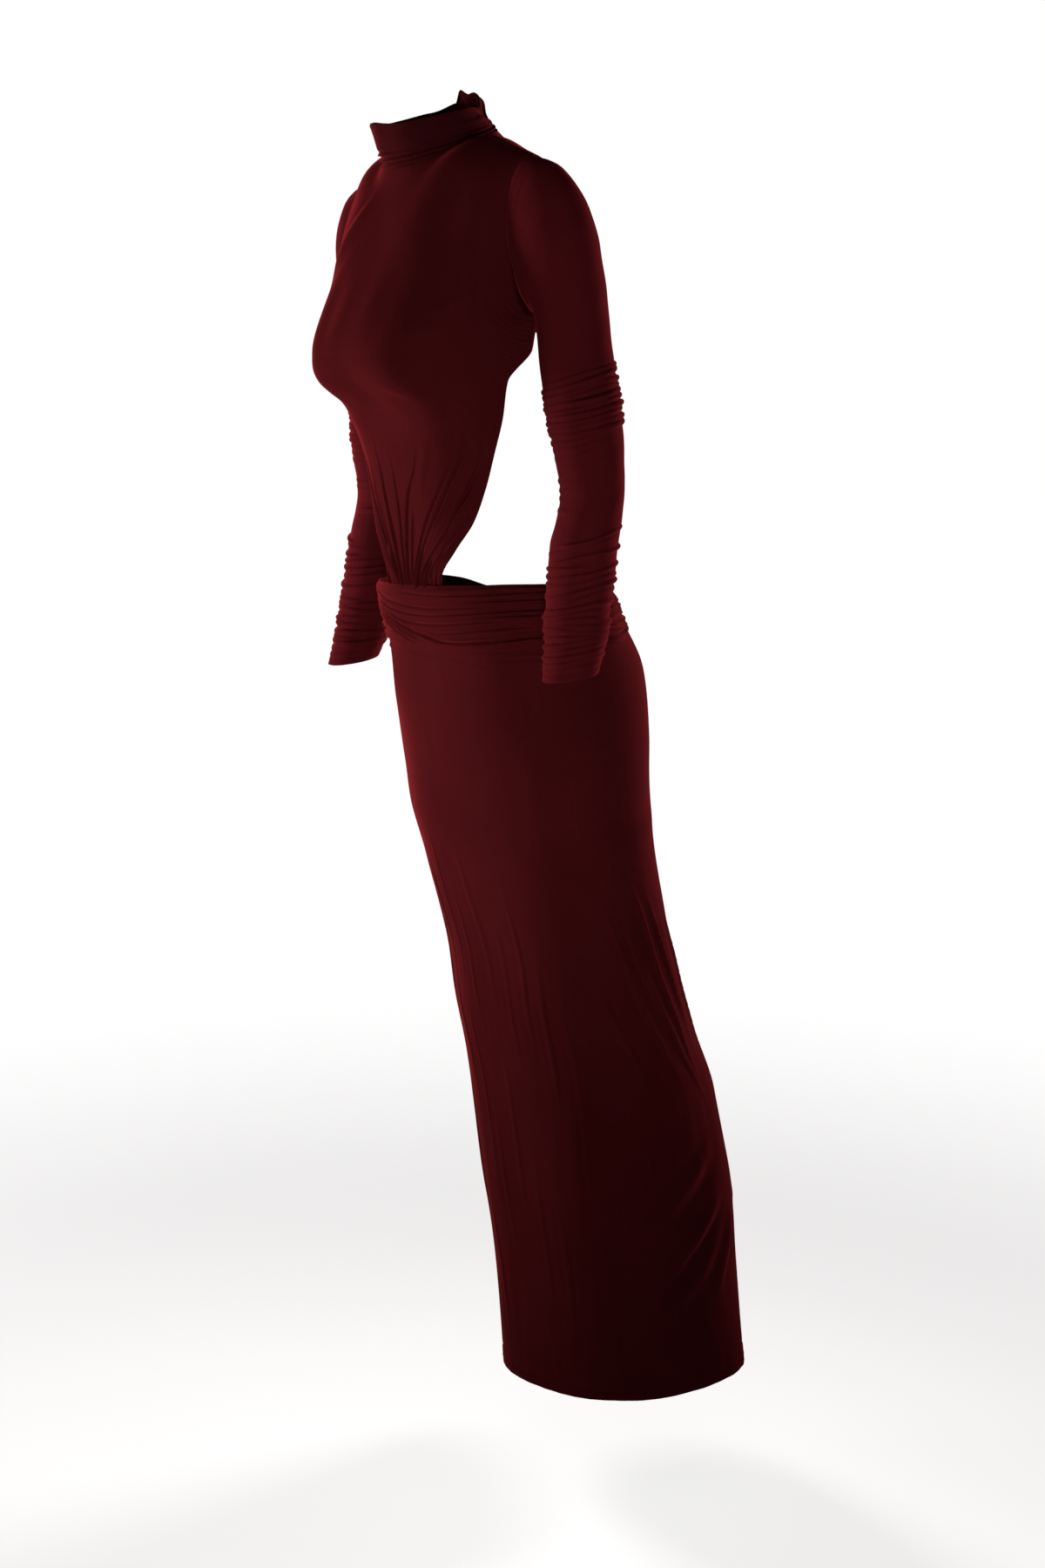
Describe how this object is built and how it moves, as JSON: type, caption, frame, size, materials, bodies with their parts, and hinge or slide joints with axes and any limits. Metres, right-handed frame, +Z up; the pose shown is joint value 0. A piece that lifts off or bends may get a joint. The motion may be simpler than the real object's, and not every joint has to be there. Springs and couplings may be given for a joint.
{
  "type": "worn maxi dress",
  "caption": "Floor-length column dress in stretch jersey with a high scrunched collar, long ruched sleeves, open sides and lower back, and a draped hip band, as worn.",
  "frame": {"origin": "middle of the neck opening at the base of the collar, where the wearer's neck and shoulders hold the dress", "axes": "+Z up, +X to the wearer's left, -Y to the wearer's front; the dress keeps its worn pose, leaning forward and a little to the wearer's right"},
  "size_m": [0.465, 0.4621, 1.4692],
  "materials": {
    "collar": "matte stretch jersey, doubled",
    "bodice": "matte stretch jersey",
    "sleeves": "matte stretch jersey, ruched",
    "hip_band": "matte stretch jersey, draped",
    "skirt": "matte stretch jersey"
  },
  "bodies": {
    "root": {"collar": "collar", "bodice_front": "bodice", "back_yoke": "bodice", "sleeve_left": "sleeves", "sleeve_right": "sleeves", "hip_band_front": "hip_band", "hip_band_back": "hip_band", "skirt_front": "skirt", "skirt_back": "skirt"}
  },
  "joints": []
}
